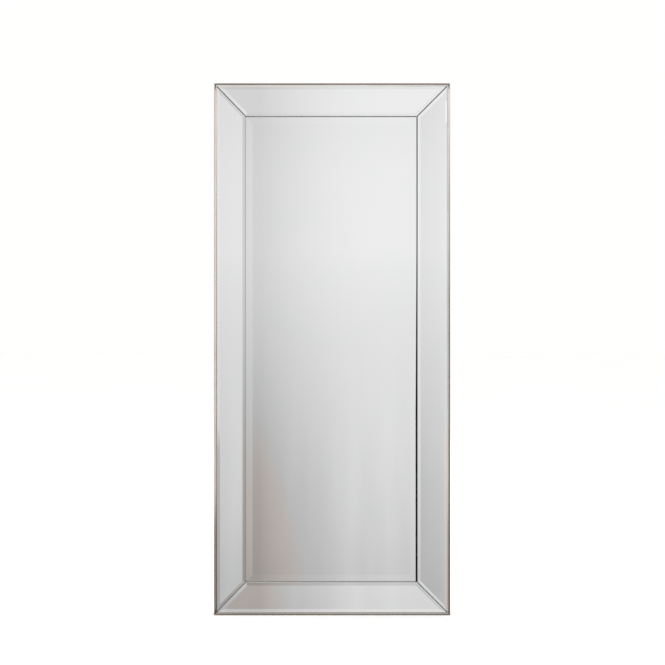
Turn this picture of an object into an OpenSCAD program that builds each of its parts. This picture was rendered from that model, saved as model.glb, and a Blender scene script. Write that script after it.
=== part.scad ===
// A tall mirror: a bevelled centre pane framed by four sloping, bevelled mirror strips.
// Front faces -Y, up is +Z, and the origin is the middle of the whole object.

/* [Overall] */
// Width over the mouldings
mirror_w = 690; // [500:1:900]
// Height over the mouldings
mirror_h = 1555; // [900:1:1900]
// Width of the frame, from its outer edge to the joint with the centre pane
border_w = 93; // [80:0.5:120]

/* [Centre pane] */
// Thickness of the centre pane
pane_t = 4; // [3:0.5:6]
// Width of the centre pane's bevel
pane_bevel_w = 25; // [15:0.5:35]
// How much thinner the bevel leaves the centre pane's edge
pane_bevel_drop = 1.4; // [0.6:0.1:2]
// How far the centre pane reaches under the strips
pane_tuck = 5; // [4:0.5:8]

/* [Strips] */
// Slope of the strips, down towards the centre pane, in degrees
strip_slope = 7.8; // [4:0.1:10]
// Thickness of the strips' glass
strip_t = 4; // [3:0.5:6]
// Width of the bevel on each edge of a strip
strip_bevel_w = 9.5; // [5:0.5:15]
// How much thinner the bevel leaves a strip's edge
strip_bevel_drop = 0.8; // [0.4:0.1:1.5]
// Width of the ground arris on a strip's inner edge and mitres
arris_w = 1; // [0.5:0.1:1.5]
// Gap between two strips at a mitre
strip_gap = 1; // [0.4:0.1:1.5]

/* [Moulding] */
// Width of the moulding seen from the front
moulding_face_w = 9; // [8:0.5:14]
// Thickness of the moulding's wall beside the rail
moulding_wall_t = 7; // [5:0.5:7.5]
// How far the moulding covers the edge of a strip
moulding_cover = 1; // [0.5:0.1:1.5]
// Thickness of the moulding's lip over a strip
moulding_lip_t = 2.3; // [1.5:0.1:4]
// Rounding of the moulding's outer front edge
moulding_round = 2.4; // [1:0.1:3]
// Width of the flat crown on the moulding's front
crown_w = 3; // [1:0.1:4]
// How far the crown stands in front of the lip's inner edge
crown_rise = 2; // [1:0.1:3]

/* [Rails] */
// Thickness of the rail's lip at its inner edge
rail_lip_t = 2.5; // [2:0.1:5]
// How far the rail's lip stays back from the strip's edge, out of sight
rail_lip_setback = 1; // [0.5:0.1:2]

/* [Tape] */
// Thickness of the tape between rail and strip
tape_t = 1; // [0.5:0.1:2]
// Width of one run of tape
tape_w = 12; // [8:0.5:20]
// Distance from a strip's edge to its run of tape
tape_inset = 10; // [6:0.5:15]

/* [Back] */
// Thickness of the card sheet behind the centre pane
buffer_t = 1.5; // [1:0.1:3]
// Distance from the card sheet's edge to the pane's edge
buffer_inset = 6; // [3:0.5:15]
// Thickness of the back board
board_t = 3; // [2.5:0.1:6]
// How deep the back board lies below the rails' back
board_recess = 1.6; // [1.2:0.1:4]

/* [Framer's points] */
// Length of one point
point_l = 16; // [12:0.5:22]
// Width of one point
point_w = 6; // [4:0.5:10]
// Thickness of one point
point_t = 0.8; // [0.5:0.1:1]
// How far a point is driven into the rail
point_drive = 7; // [5:0.5:9]
// Largest distance between two points
point_pitch = 290; // [150:5:400]
// Distance from a rail's outer end to its first point
point_end = 190; // [150:5:240]

/* [Corner plates] */
// Distance from the frame's edge to the middle of a plate's arm
plate_u = 46; // [36:0.5:50]
// Length of a plate's arm, from the corner of its middle line
plate_arm = 60; // [50:1:80]
// Width of a plate's arm
plate_w = 18; // [14:0.5:24]
// Thickness of a plate
plate_t = 1.5; // [1:0.1:2.5]
// Distance from the corner of the middle line to the first screw
plate_screw_1 = 22; // [15:0.5:28]
// Distance from the first screw to the second
plate_screw_2 = 28; // [12:0.5:30]

/* [Screws] */
// Diameter of a screw's shank
screw_d = 3; // [2.5:0.1:4]
// Length of a screw below the surface of the rail
screw_l = 13; // [9:0.5:14]
// Length of a screw's point
screw_tip_l = 3; // [2:0.1:5]
// Diameter of a screw's head
screw_head_d = 6.4; // [5:0.1:7]
// Height of a screw's head
screw_head_h = 1.8; // [1:0.1:2.4]
// Width of a slot in the screw's cross recess
recess_w = 0.9; // [0.5:0.1:1.2]
// Length of a slot in the screw's cross recess
recess_l = 3.2; // [2:0.1:4]
// Depth of the cross recess
recess_d = 1; // [0.5:0.1:1.4]

/* [Hangers] */
// Distance from the top of the mirror to the middle of the hangers
hanger_down = 390; // [250:5:600]
// Distance from the frame's edge to the hanger strap's outer end
strap_u = 16; // [12:0.5:18]
// Distance from the frame's edge to the ring's bar
ring_bar_u = 62; // [60:0.5:66]
// Width of the hanger strap
strap_w = 16; // [12:0.5:18]
// Thickness of the hanger strap
strap_t = 1.2; // [0.8:0.1:1.4]
// Distance from the strap's outer end to its first screw
strap_screw_1 = 8; // [7:0.5:10]
// Distance from the first screw to the second
strap_screw_2 = 19; // [12:0.5:20]
// Diameter of the ring's bar
ring_bar_d = 2.8; // [2.2:0.1:2.9]
// Diameter of the ring's bow
ring_bow_d = 2.6; // [1.8:0.1:2.7]
// Radius of the bow's middle line
ring_r = 12.5; // [11.5:0.1:14]

/* [Bumpers] */
// Diameter of a rubber bumper
bumper_d = 14; // [8:0.5:16]
// Height of a rubber bumper
bumper_h = 6; // [5.8:0.1:10]
// Rounding of a bumper's edge
bumper_round = 1.5; // [0.5:0.1:3]
// Distance from the frame's edges to a bumper's middle
bumper_u = 20; // [15:0.5:24]

/* [Brads] */
// Diameter of a brad
brad_d = 1.2; // [0.8:0.1:2]
// Length of a brad
brad_l = 20; // [15:0.5:25]
// How deep a brad's end is set below the moulding's side
brad_set = 1; // [0.5:0.1:2]
// Largest distance between two brads
brad_pitch = 330; // [150:5:500]
// Distance from a rail's outer end to its first brad
brad_end = 110; // [90:5:150]

/* [Clearances] */
// Clearance between moulding lip and strip
lip_gap = 0.35; // [0.3:0.05:1]
// Clearance between the rail's lip and the centre pane
pane_gap = 0.3; // [0.3:0.05:1]
// Clearance round the centre pane and the back board in the rebate
rebate_gap = 1; // [0.5:0.1:2]
// Radial clearance round a screw in its hole in steel
screw_hole_gap = 0.25; // [0.2:0.05:0.5]
// Radial clearance round a screw or brad in wood
wood_gap = 0.05; // [0.03:0.01:0.1]
// Depth that a hole in wood goes past the end of what it holds
hole_end_gap = 0.5; // [0.3:0.1:1]
// Radial clearance of the ring's bar in its loop
ring_fit = 0.06; // [0.03:0.01:0.1]
// Gap between the rail's back and the strap's loop
loop_gap = 0.3; // [0.3:0.05:0.6]

/* [Hidden] */
$fn = 48;

// Sides go clockwise as seen from the front. Along each side +X runs anticlockwise, and
// a corner piece belongs to the side that has the corner at its +X end.
SIDES = ["bottom", "left", "top", "right"];
ENDS = [-1, 1];

// Heights are measured from the rails' back towards the front.
board_front_h = board_recess + board_t;
pane_back_h = board_front_h + buffer_t;
pane_front_h = pane_back_h + pane_t;

// Places across a side are measured from the frame's outer edge inwards.
pane_edge_u = border_w - pane_tuck;
rebate_u = pane_edge_u - rebate_gap;
rail_lip_u = border_w - rail_lip_setback;
strip_edge_u = moulding_face_w - moulding_cover;

pane_at_lip_h = pane_front_h - pane_bevel_drop * (1 - (rail_lip_u - pane_edge_u) / pane_bevel_w);
rail_lip_under_h = pane_at_lip_h + pane_gap;
rail_lip_h = rail_lip_under_h + rail_lip_t;
rail_edge_h = rail_lip_h + (rail_lip_u - moulding_wall_t) * tan(strip_slope);
strip_front_h = rail_lip_h - rail_lip_setback * tan(strip_slope)
    + (tape_t + strip_t) / cos(strip_slope);
strip_across = (border_w - strip_edge_u) / cos(strip_slope);
strip_bevel_angle = atan(strip_bevel_drop / strip_bevel_w);
arris_angle = 45;
strip_edge_h = strip_front_h + strip_across * sin(strip_slope)
    - strip_bevel_drop * cos(strip_slope);
moulding_lip_under_h = strip_edge_h + lip_gap;
moulding_edge_h = moulding_lip_under_h + moulding_lip_t;
frame_h = moulding_edge_h + crown_rise;
back_y = (frame_h - bumper_h) / 2;

// The crown falls away to the strip in a round that starts where the crown ends.
crown_end_u = moulding_round + crown_w;
fall_w = moulding_face_w - crown_end_u;
fall_r = (fall_w * fall_w + crown_rise * crown_rise) / (2 * crown_rise);

loop_r = ring_bar_d / 2 + ring_fit + strap_t;
loop_back = loop_gap + loop_r;
brad_h = rail_edge_h / 2;
strap_x = mirror_h / 2 - hanger_down;
cut_over = 10;

function quarter_turns(side) = search([side], SIDES)[0];
function upright(side) = side == "left" || side == "right";
function side_l(side) = upright(side) ? mirror_h : mirror_w;
function half_across(side) = (upright(side) ? mirror_w : mirror_h) / 2;

// Even places along a side, from its first end distance and its largest pitch
function places(side, end, pitch) =
    let (span = side_l(side) - 2 * end, steps = max(1, ceil(span / pitch)))
    [for (i = [0:steps]) -span / 2 + i * span / steps];

// A point of a side's section, from its place across and its height
function at(u, h) = [-u, -h];

// Puts children on one side: X along it, Z inwards from its outer edge, Y back from its rails
module on_side(side) {
    rotate([0, 90 * quarter_turns(side), 0])
        translate([0, back_y, -half_across(side)])
            children();
}

// Tilts children to the strips: the strip's front inner edge is the X axis, its glass is at +Y
module on_slope() {
    translate([0, -strip_front_h, border_w])
        rotate([-strip_slope, 0, 0])
            children();
}

// A section made as long as asked, along X
module bar(length) {
    translate([-length / 2, 0, 0])
        rotate([0, 90, 0])
            linear_extrude(length)
                children();
}

// What lies between the two mitres of a side, less half a gap at each
module mitre_zone(side, gap = 0) {
    half_l = side_l(side) / 2 - gap / sqrt(2);
    reach = border_w + cut_over;
    translate([0, cut_over, 0])
        rotate([90, 0, 0])
            linear_extrude(frame_h + 2 * cut_over)
                polygon([
                    [-half_l, 0],
                    [half_l, 0],
                    [half_l - reach, reach],
                    [reach - half_l, reach],
                ]);
}

// A round hole or pin that runs back along Y from the point it is put at
module along_y(r, length) {
    rotate([90, 0, 0])
        cylinder(r = r, h = length);
}

module centre_pane() {
    color([0.86, 0.89, 0.90])
        intersection() {
            pane_run(mirror_w, mirror_h);
            rotate([0, 90, 0])
                pane_run(mirror_h, mirror_w);
        }
}

// A slab with its two long edges bevelled, as wide as the pane in a mirror so wide
module pane_run(across, along) {
    half_w = across / 2 - pane_edge_u;
    edge_y = back_y - pane_front_h + pane_bevel_drop;
    front_y = back_y - pane_front_h;
    rear_y = back_y - pane_back_h;
    translate([0, 0, pane_edge_u - along / 2])
        linear_extrude(along - 2 * pane_edge_u)
            polygon([
                [-half_w, rear_y],
                [-half_w, edge_y],
                [pane_bevel_w - half_w, front_y],
                [half_w - pane_bevel_w, front_y],
                [half_w, edge_y],
                [half_w, rear_y],
            ]);
}

module strip(side) {
    color([0.80, 0.84, 0.86])
        on_side(side)
            intersection() {
                on_slope()
                    difference() {
                        bar(side_l(side))
                            strip_section();
                        for (end = ENDS)
                            scale([end, 1, 1]) {
                                mitre_cut(side, strip_bevel_w, strip_bevel_angle);
                                mitre_cut(side, strip_gap / 2 + arris_w, arris_angle);
                            }
                    }
                mitre_zone(side, strip_gap);
            }
}

// How far a strip's bevel lies below its face, at a distance from the edge
function bevel_drop(from_edge) = strip_bevel_drop * (1 - from_edge / strip_bevel_w);

// The strip across its width: bevels on both edges, and an arris on the inner one
module strip_section() {
    polygon([
        [0, bevel_drop(arris_w) + arris_w * tan(arris_angle)],
        [arris_w, bevel_drop(arris_w)],
        [strip_bevel_w, 0],
        [strip_across - strip_bevel_w, 0],
        [strip_across, strip_bevel_drop],
        [strip_across, strip_t],
        [0, strip_t],
    ]);
}

// What a flat cut along a mitre takes off, from its distance to the mitre and its angle
module mitre_cut(side, from_mitre, angle) {
    translate([side_l(side) / 2 - border_w, 0, 0])
        rotate([0, -atan(cos(strip_slope)), 0])
            translate([-from_mitre, bevel_drop(from_mitre), 0])
                rotate([0, 0, angle])
                    translate([0, -cut_over, -2 * strip_across])
                        cube([strip_bevel_w + cut_over, cut_over, 3 * strip_across]);
}

module moulding(side) {
    color([0.78, 0.74, 0.68])
        on_side(side)
            difference() {
                intersection() {
                    bar(side_l(side))
                        moulding_section();
                    mitre_zone(side);
                }
                brad_holes(side);
            }
}

// A wall beside the rail, a lip over the strip, and a flat crown with both its edges rounded
module moulding_section() {
    polygon([
        at(0, 0),
        at(moulding_wall_t, 0),
        at(moulding_wall_t, moulding_lip_under_h),
        at(moulding_face_w, moulding_lip_under_h),
        at(moulding_face_w, moulding_edge_h),
        at(crown_end_u, frame_h),
        at(moulding_round, frame_h),
        at(0, frame_h - moulding_round),
    ]);
    translate(at(moulding_round, frame_h - moulding_round))
        circle(moulding_round);
    intersection() {
        translate(at(crown_end_u, frame_h - fall_r))
            circle(fall_r);
        translate(at(moulding_face_w, frame_h))
            square([fall_w, crown_rise]);
    }
}

module rail(side) {
    color([0.72, 0.58, 0.40])
        on_side(side)
            difference() {
                intersection() {
                    bar(side_l(side))
                        rail_section();
                    mitre_zone(side);
                }
                brad_holes(side);
                points_on(side);
                for (place = corner_screw_places(side))
                    screw_hole_at(place);
                if (upright(side))
                    for (place = hanger_screw_places(side))
                        screw_hole_at(place);
            }
}

// A wedge that slopes to the centre, with a rebate behind its lip
module rail_section() {
    polygon([
        at(moulding_wall_t, 0),
        at(rebate_u, 0),
        at(rebate_u, rail_lip_under_h),
        at(rail_lip_u, rail_lip_under_h),
        at(rail_lip_u, rail_lip_h),
        at(moulding_wall_t, rail_edge_h),
    ]);
}

module tape(side) {
    mitre_clear = 2 * (tape_inset + strip_gap);
    color([0.20, 0.20, 0.21])
        on_side(side)
            intersection() {
                on_slope()
                    for (run = [tape_inset, strip_across - tape_inset - tape_w])
                        bar(side_l(side))
                            translate([run, strip_t])
                                square([tape_w, tape_t]);
                mitre_zone(side, mitre_clear);
            }
}

module buffer_sheet() {
    edge = pane_edge_u + buffer_inset;
    color([0.93, 0.93, 0.91])
        translate([edge - mirror_w / 2, back_y - pane_back_h, edge - mirror_h / 2])
            cube([mirror_w - 2 * edge, buffer_t, mirror_h - 2 * edge]);
}

module back_board() {
    edge = rebate_u + rebate_gap;
    color([0.48, 0.33, 0.21])
        translate([edge - mirror_w / 2, back_y - board_front_h, edge - mirror_h / 2])
            cube([mirror_w - 2 * edge, board_t, mirror_h - 2 * edge]);
}

// The points of one side, flat on the back board and driven into the rebate's wall
module points_on(side) {
    for (x = places(side, point_end, point_pitch))
        translate([x - point_w / 2, -board_recess, rebate_u - point_drive])
            cube([point_w, point_t, point_l]);
}

module framers_points() {
    color([0.62, 0.63, 0.65])
        for (side = SIDES)
            on_side(side)
                points_on(side);
}

// Two screws near each end of a side, where the corner plates lie
function corner_screw_places(side) = [
    for (end = ENDS, along = [plate_screw_1, plate_screw_1 + plate_screw_2])
        [end * (side_l(side) / 2 - plate_u - along), 0, plate_u]
];

// The plate over the corner at this side's +X end, flat on the rails' back
module corner_plate(side) {
    color([0.74, 0.75, 0.77])
        on_side(side)
            difference() {
                union() {
                    plate_arm(side, plate_arm, plate_w);
                    plate_arm(side, plate_w, plate_arm);
                }
                for (along = [plate_screw_1, plate_screw_1 + plate_screw_2]) {
                    plate_hole(side, along, 0);
                    plate_hole(side, 0, along);
                }
            }
}

// One arm of a plate: how far it runs along the side, and how far across it
module plate_arm(side, along, across) {
    run = along == plate_w ? plate_w : along + plate_w / 2;
    rise = across == plate_w ? plate_w : across + plate_w / 2;
    translate([side_l(side) / 2 - plate_u + plate_w / 2 - run, 0, plate_u - plate_w / 2])
        cube([run, plate_t, rise]);
}

module plate_hole(side, along, across) {
    translate([side_l(side) / 2 - plate_u - along, plate_t + cut_over, plate_u + across])
        along_y(screw_d / 2 + screw_hole_gap, plate_t + 2 * cut_over);
}

// A pan-head screw: its head sits on metal so thick, and its shank runs into the rail
module screw_at(place, metal_t) {
    translate(place)
        difference() {
            union() {
                translate([0, metal_t + screw_head_h / 2, 0])
                    along_y(screw_head_d / 2, screw_head_h / 2);
                translate([0, metal_t + screw_head_h / 2, 0])
                    rotate([-90, 0, 0])
                        cylinder(r1 = screw_head_d / 2, r2 = screw_head_d / 3, h = screw_head_h / 2);
                translate([0, metal_t, 0])
                    along_y(screw_d / 2, metal_t + screw_l - screw_tip_l);
                translate([0, screw_tip_l - screw_l, 0])
                    rotate([90, 0, 0])
                        cylinder(r1 = screw_d / 2, r2 = screw_d / 10, h = screw_tip_l);
            }
            for (turn = [0, 90])
                translate([0, metal_t + screw_head_h, 0])
                    rotate([0, turn, 0])
                        cube([recess_l, 2 * recess_d, recess_w], center = true);
        }
}

module screw_hole_at(place) {
    translate(place)
        translate([0, cut_over, 0])
            along_y(screw_d / 2 + wood_gap, cut_over + screw_l + hole_end_gap);
}

module corner_screws() {
    color([0.80, 0.80, 0.82])
        for (side = SIDES)
            on_side(side)
                for (place = corner_screw_places(side))
                    screw_at(place, plate_t);
}

// Where the hangers lie along a side, as both are as far from the top
function hanger_x(side) = side == "left" ? -strap_x : strap_x;

function hanger_screw_places(side) = [
    for (along = [strap_screw_1, strap_screw_1 + strap_screw_2])
        [hanger_x(side), 0, strap_u + along]
];

// A flat strap whose end curls into a loop round the ring's bar
module hanger_strap(side) {
    color([0.82, 0.80, 0.74])
        on_side(side)
            difference() {
                union() {
                    translate([hanger_x(side), strap_t, strap_u + strap_w / 2])
                        along_y(strap_w / 2, strap_t);
                    translate([hanger_x(side) - strap_w / 2, 0, strap_u + strap_w / 2])
                        cube([strap_w, strap_t, ring_bar_u - strap_u - strap_w / 2]);
                    translate([hanger_x(side) - strap_w / 2, loop_back, ring_bar_u])
                        rotate([0, 90, 0])
                            cylinder(r = loop_r, h = strap_w);
                }
                translate([hanger_x(side) - strap_w, loop_back, ring_bar_u])
                    rotate([0, 90, 0])
                        cylinder(r = ring_bar_d / 2 + ring_fit, h = 2 * strap_w);
                for (place = hanger_screw_places(side))
                    translate(place)
                        translate([0, cut_over, 0])
                            along_y(screw_d / 2 + screw_hole_gap, 2 * cut_over);
            }
}

// A ring of D shape, lying flat and pointing to the middle of the mirror
module hanger_ring(side) {
    bar_l = 2 * ring_r + ring_bar_d;
    color([0.84, 0.82, 0.77])
        on_side(side)
            translate([hanger_x(side), loop_back, ring_bar_u]) {
                translate([-bar_l / 2, 0, 0])
                    rotate([0, 90, 0])
                        cylinder(r = ring_bar_d / 2, h = bar_l);
                rotate([90, 0, 0])
                    rotate_extrude(angle = 180)
                        translate([ring_r, 0])
                            circle(ring_bow_d / 2);
            }
}

module hanger_screws() {
    color([0.80, 0.80, 0.82])
        for (side = ["left", "right"])
            on_side(side)
                for (place = hanger_screw_places(side))
                    screw_at(place, strap_t);
}

// The bumper near the corner at this side's +X end
module bumper(side) {
    r = bumper_d / 2;
    color([0.12, 0.12, 0.13])
        on_side(side)
            translate([side_l(side) / 2 - bumper_u, 0, bumper_u])
                rotate([-90, 0, 0])
                    rotate_extrude() {
                        square([r, bumper_h - bumper_round]);
                        square([r - bumper_round, bumper_h]);
                        translate([r - bumper_round, bumper_h - bumper_round])
                            circle(bumper_round);
                    }
}

// The brads of one side, as pins so thick and so long, set below the moulding's side
module brads_on(side, r, length) {
    for (x = places(side, brad_end, brad_pitch))
        translate([x, -brad_h, brad_set])
            cylinder(r = r, h = length);
}

module brad_holes(side) {
    brads_on(side, brad_d / 2 + wood_gap, brad_l + hole_end_gap);
}

module moulding_brads() {
    color([0.66, 0.66, 0.68])
        for (side = SIDES)
            on_side(side)
                brads_on(side, brad_d / 2, brad_l);
}

centre_pane();
strip("bottom");  // strip_bottom
strip("left");  // strip_left
strip("top");  // strip_top
strip("right");  // strip_right
moulding("bottom");  // moulding_bottom
moulding("left");  // moulding_left
moulding("top");  // moulding_top
moulding("right");  // moulding_right
rail("bottom");  // rail_bottom
rail("left");  // rail_left
rail("top");  // rail_top
rail("right");  // rail_right
tape("bottom");  // tape_bottom
tape("left");  // tape_left
tape("top");  // tape_top
tape("right");  // tape_right
buffer_sheet();
back_board();
framers_points();
corner_plate("bottom");  // corner_plate_bottom_right
corner_plate("left");  // corner_plate_bottom_left
corner_plate("top");  // corner_plate_top_left
corner_plate("right");  // corner_plate_top_right
corner_screws();
hanger_strap("left");  // hanger_strap_left
hanger_strap("right");  // hanger_strap_right
hanger_ring("left");  // hanger_ring_left
hanger_ring("right");  // hanger_ring_right
hanger_screws();
bumper("bottom");  // bumper_bottom_right
bumper("left");  // bumper_bottom_left
bumper("top");  // bumper_top_left
bumper("right");  // bumper_top_right
moulding_brads();
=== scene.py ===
import math

import bmesh
import bpy
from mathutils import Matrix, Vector


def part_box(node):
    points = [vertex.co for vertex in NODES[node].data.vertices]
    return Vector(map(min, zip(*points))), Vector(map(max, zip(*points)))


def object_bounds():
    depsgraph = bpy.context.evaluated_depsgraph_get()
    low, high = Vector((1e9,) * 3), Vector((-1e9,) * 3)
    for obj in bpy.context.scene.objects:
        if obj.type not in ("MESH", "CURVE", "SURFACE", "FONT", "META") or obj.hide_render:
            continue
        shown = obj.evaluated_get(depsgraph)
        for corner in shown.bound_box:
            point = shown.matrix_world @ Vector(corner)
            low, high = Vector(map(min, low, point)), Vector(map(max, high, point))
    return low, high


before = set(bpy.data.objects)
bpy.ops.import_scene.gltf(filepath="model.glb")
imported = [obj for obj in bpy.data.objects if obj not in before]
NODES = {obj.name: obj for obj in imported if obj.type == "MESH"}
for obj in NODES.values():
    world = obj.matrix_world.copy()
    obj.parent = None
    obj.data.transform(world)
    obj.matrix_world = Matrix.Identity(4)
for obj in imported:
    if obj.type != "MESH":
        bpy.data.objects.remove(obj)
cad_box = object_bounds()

# Measures are in metres, and the mirror's front faces -Y. Colours are linear red, green and blue.
# A ramp holds the two values it runs between, and then what it gives at each if not 0 and 1.
MM = 0.001

# Shared effects
EDGE_SAMPLES = 4
EDGE_RAMP = (0.012, 0.12)
WEAR_RAMP = (0.35, 0.65)
FINE_RAMP = (0.28, 0.72)
COARSE_RAMP = (0.3, 0.7)
COARSE_SCALE_SHARE = 0.21
PATCH_RAMP = (0.3, 0.7)
GRAIN_RAMP = (0.25, 0.75)
DUST_BY_TILT = (-0.2, 0.9, 0.12, 1.0)
DUST_SPECK_RAMP = (0.4, 0.7)
# How much rougher fine lines make wood and steel
LINE_ROUGH = 0.08

# What a place is multiplied by, so that lines run along X or along Z
ALONG_X = (0.03, 1.0, 1.0)
ALONG_Z = (1.0, 1.0, 0.03)
KNOTS_ALONG_X = (0.8, 4.0, 2.4)
KNOTS_ALONG_Z = (2.4, 4.0, 0.8)

# Panes: how light each one's silver and its ground edges look. These tones are painted shade, set
# pane by pane so that each joint and the left strip look as dark as their shade and reflections
# make them
PANE_SHADE_TONES = {
    "centre_pane": (1.0, 0.3),
    "strip_bottom": (1.0, 0.4),
    "strip_left": (0.94, 0.03),
    "strip_top": (1.0, 0.3),
    "strip_right": (1.0, 0.02),
}
# How far the look of a bevel leans past the pane's own direction
CENTRE_TURN = 0.55
STRIP_TURN = 1.7
# How nearly a face looks the pane's way to be silver, or the other way to be painted
PANE_FACING = 0.95
SILVER_DARK = (0.955, 0.965, 0.962)
SILVER_LIGHT = (0.97, 0.972, 0.966)
SILVER_ROUGH = (0.008, 0.02)
PANE_DUST = (0.80, 0.79, 0.76)
PANE_DUST_ROUGH = 0.5
GROUND_DARK = (0.78, 0.86, 0.83)
GROUND_LIGHT = (1.14, 1.2, 1.18)
GROUND_ROUGH = (0.32, 0.5)
BACK_PAINT_DARK = (0.20, 0.21, 0.22)
BACK_PAINT_LIGHT = (0.27, 0.28, 0.29)

# The silver of the centre pane is painted black beside its right joint, as painted shade for the
# dark reflection there: the heights where that starts and is full, the width there and how it
# wanders, its soft edge, and how far the joint is from the mirror's side
BLACK_TOP = 0.5
BLACK_FULL = -0.2
BLACK_WIDTH = 3.8 * MM
BLACK_WANDER = (0.85, 1.1)
BLACK_SOFT = 0.3 * MM
JOINT_FROM_SIDE = 92.8 * MM
PAINTED_SHADE_BLACK = (0.03, 0.03, 0.032)

# Moulding: silver leaf over brown clay, painted darker low down as painted shade for dark
# reflections, which starts and is full at these heights
LEAF_DARK = (0.84, 0.79, 0.735)
LEAF_LIGHT = (0.92, 0.875, 0.825)
LEAF_LINES = (0.7, 0.64, 0.58)
LEAF_LINE_SHARE = 0.3
LEAF_DUST = (0.55, 0.52, 0.48)
LEAF_METALLIC = 0.96
LEAF_ROUGH = (0.02, 0.04)
LEAF_GRAIN_ROUGH = 0.01
LEAF_DEPTH = 0.003 * MM
BARE_METALLIC = 0.1
BARE_ROUGH = 0.6
CLAY_DARK = (0.17, 0.085, 0.055)
CLAY_LIGHT = (0.26, 0.15, 0.10)
CLAY_SHARE = 0.25
LOW_SHADE_TINT = (0.16, 0.12, 0.10)
LOW_SHADE_TOP = -0.38
LOW_SHADE_FULL = -0.56
LOW_SHADE_WANDER = (0.85, 1.0)
LOW_SHADE_LEVEL = 0.4
LOW_SHADE_LEFT = 0.65
LOW_SHADE_RIGHT = 0.35

# Rails: pine, painted from the front back to just behind their lip
# The grey on the level rails and the black on the upright ones are painted shade: they make the
# joints at the sides darker than those above and below
LIT_GREY_PAINT = ((0.30, 0.29, 0.28), (0.42, 0.41, 0.40))
SHADED_BLACK_PAINT = ((0.012, 0.011, 0.011), (0.03, 0.028, 0.027))
PAINT_TO_Y = 3.7 * MM
PAINT_SOFT = 0.2 * MM
PAINT_WANDER = 0.25 * MM
EARLY_WOOD = (0.66, 0.47, 0.285)
LATE_WOOD = (0.50, 0.305, 0.15)
WOOD_FIBRES = (0.75, 0.58, 0.38)
WOOD_PATCHES = (0.42, 0.27, 0.145)
WOOD_KNOTS = (0.16, 0.075, 0.035)
WOOD_EDGES = (0.36, 0.25, 0.16)
WOOD_DUST = (0.55, 0.51, 0.46)
WOOD_ROUGH = (0.68, 0.52)
WOOD_DEPTH = 0.12 * MM
RING_COUNT = 9.0
RING_RAMP = (0.35, 0.95)
KNOT_RAMP = (0.05, 0.075, 1.0, 0.0)

# Back: dark and light tones of each steel, and the stains on two of them
PLAIN_STEEL = ((0.40, 0.39, 0.38), (0.58, 0.57, 0.56))
PLAIN_STAIN = (0.33, 0.25, 0.19)
PLAIN_ROUGH = 0.34
ZINC = ((0.62, 0.64, 0.66), (0.80, 0.81, 0.82))
ZINC_STAIN = (0.74, 0.71, 0.58)
ZINC_ROUGH = 0.28
NICKEL = ((0.66, 0.62, 0.56), (0.80, 0.765, 0.71))
NICKEL_ROUGH = 0.18
STEEL_STAIN_SHARE = 0.4
STEEL_TARNISH_ROUGH = 0.12
STEEL_DEPTH = 0.02 * MM
RUBBED_LIGHTER = 1.12

BOARD_DARK = (0.205, 0.115, 0.06)
BOARD_LIGHT = (0.37, 0.235, 0.135)
BOARD_PATCHES = (0.16, 0.088, 0.048)
BOARD_WEAVE = (0.12, 0.066, 0.036)
BOARD_DUST = (0.50, 0.45, 0.39)
BOARD_ROUGH = (0.6, 0.82)
BOARD_DEPTH = 0.15 * MM
BOARD_FIBRE_RAMP = (0.35, 0.7)
BOARD_FIBRE_STRETCH = (1.0, 1.0, 0.35)
MESH_PITCH = 2.4 * MM
MESH_RAMP = (-0.9, 0.9)
WEAVE_HEIGHT_SHARE = -1.2

CARD_DARK = (0.42, 0.40, 0.37)
CARD_LIGHT = (0.54, 0.52, 0.485)
CARD_SPECKS = (0.16, 0.15, 0.14)
CARD_SPECK_RAMP = (0.66, 0.7)
CARD_ROUGH = (0.82, 0.93)
CARD_DEPTH = 0.05 * MM

FOAM_DARK = (0.035, 0.035, 0.038)
FOAM_LIGHT = (0.07, 0.07, 0.075)
FOAM_PORES = (0.012, 0.012, 0.013)
FOAM_PORE_RAMP = (0.15, 0.4, 1.0, 0.0)
FOAM_ROUGH = (0.8, 0.95)
FOAM_DEPTH = 0.08 * MM

RUBBER_DARK = (0.018, 0.018, 0.019)
RUBBER_LIGHT = (0.042, 0.042, 0.043)
RUBBER_EDGES = (0.09, 0.09, 0.088)
RUBBER_DUST = (0.4, 0.38, 0.35)
RUBBER_ROUGH = (0.55, 0.75)
RUBBER_DEPTH = 0.04 * MM

# The floor, and the curved wall round the front that only shows in reflections
FLOOR_DARK = (0.93, 0.93, 0.925)
FLOOR_LIGHT = (0.95, 0.95, 0.945)
FLOOR_ROUGH = (0.75, 0.9)
FLOOR_HALF_WIDTH = 30.0
# How much the floor glows, so that it comes out white
FLOOR_GLOW = 0.13
WALL_RADIUS = 2.6
WALL_INNER_RADIUS = 0.02
WALL_LOW = -2.4
WALL_HIGH = 2.7
WALL_ROUNDING = 0.7
WALL_TURN = math.radians(116)
WALL_STEPS = 72
ROUNDING_STEPS = 10

# Tones of the wall's front. These ramps go by height or by place across, and a pair holds a
# value for high up and one for low down.
LOW_BY_HEIGHT = (0.3, -1.1)
LEVEL_BY_HEIGHT = (-1.5, 0.55, 0.49, 0.835)
HIGH_SHADE_BY_HEIGHT = (0.9, 1.5, 0.0, 0.04)
FADE_ACROSS = (-0.12, 0.644, 1.02, 0.0)
FADE_KEPT_ACROSS = (-0.28, -0.45, 1.0, 0.15)
FADE_DEPTH = (0.225, 0.5)
PEAK_TONE = (1.04, 1.165)
# Folds: middle in X, half width, and how much lighter than the rest
CLOTH_FOLDS = ((0.44, 0.07, 0.035), (0.66, 0.08, 0.04), (0.21, 0.16, -0.04))
CLOTH_HEIGHT_SHARE = 0.15
CLOTH_SCALE = 9.0
CLOTH_RAMP = (0.3, 0.7, -0.018, 0.018)

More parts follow.
